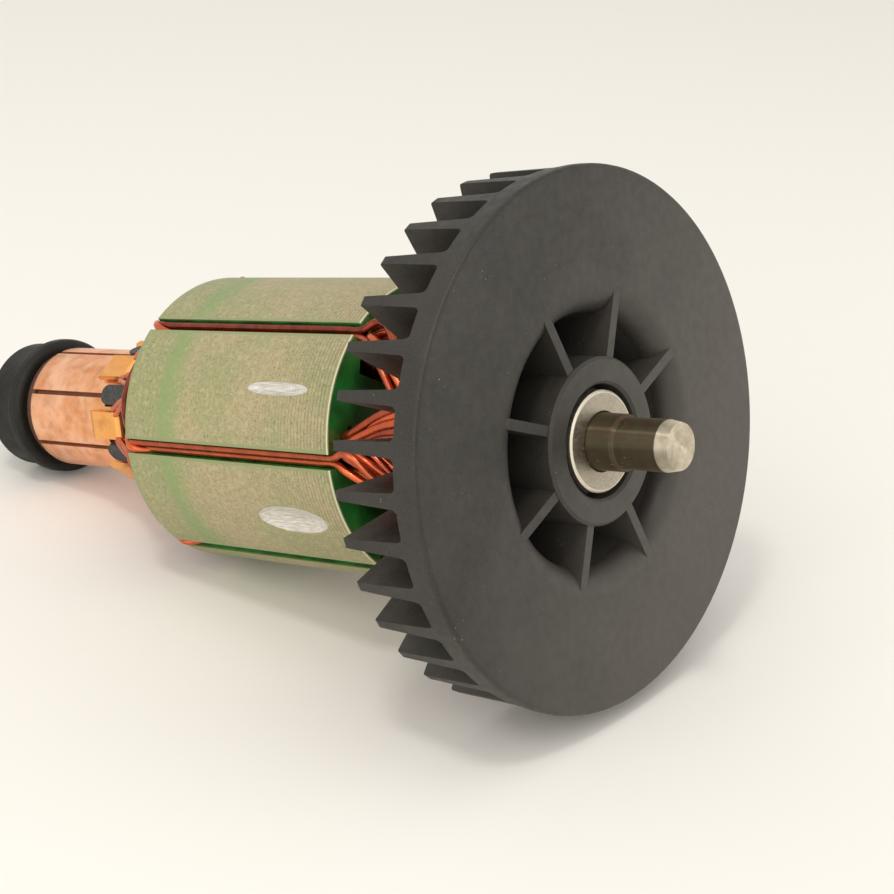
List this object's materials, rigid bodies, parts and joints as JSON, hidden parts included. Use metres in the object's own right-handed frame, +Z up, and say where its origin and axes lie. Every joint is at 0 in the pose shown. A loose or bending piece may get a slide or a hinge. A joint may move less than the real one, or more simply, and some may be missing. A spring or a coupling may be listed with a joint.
{
  "type": "motor armature",
  "caption": "Wound armature of a small commutator motor with slotted core, hooked copper commutator and moulded radial cooling fan.",
  "frame": {"origin": "middle of the resting part's bounding box in plan, on the floor", "axes": "+X horizontal, from the commutator end to the fan and output stub; +Z up; the armature's own axis lies in the XZ plane and rises toward +X, because the part lies on its fan and end sleeve"},
  "size_m": [0.1108, 0.057, 0.0574],
  "materials": {
    "shaft_steel": "turned, tarnished",
    "fan_plastic": "moulded, fine grain",
    "collar_steel": "matte turned",
    "core_steel": "ground laminations under thin varnish",
    "epoxy": "sprayed epoxy",
    "sleeve_plastic": "plain tube",
    "enamelled_copper": "enamelled copper wire",
    "moulding": "phenolic moulding",
    "bar_copper": "turned copper, brush stained",
    "end_sleeve_plastic": "black moulding"
  },
  "bodies": {
    "root": {"shaft": "shaft_steel", "cooling_fan": "fan_plastic", "fan_collar": "collar_steel", "lamination_stack": "core_steel", "epoxy_coat": "epoxy", "front_sleeve": "sleeve_plastic", "rear_sleeve": "sleeve_plastic", "coil_1": "enamelled_copper", "coil_2": "enamelled_copper", "coil_3": "enamelled_copper", "coil_4": "enamelled_copper", "coil_5": "enamelled_copper", "coil_6": "enamelled_copper", "coil_7": "enamelled_copper", "commutator_moulding": "moulding", "commutator_bar_1": "bar_copper", "commutator_bar_2": "bar_copper", "commutator_bar_3": "bar_copper", "commutator_bar_4": "bar_copper", "commutator_bar_5": "bar_copper", "commutator_bar_6": "bar_copper", "commutator_bar_7": "bar_copper", "end_sleeve": "end_sleeve_plastic"}
  },
  "joints": []
}
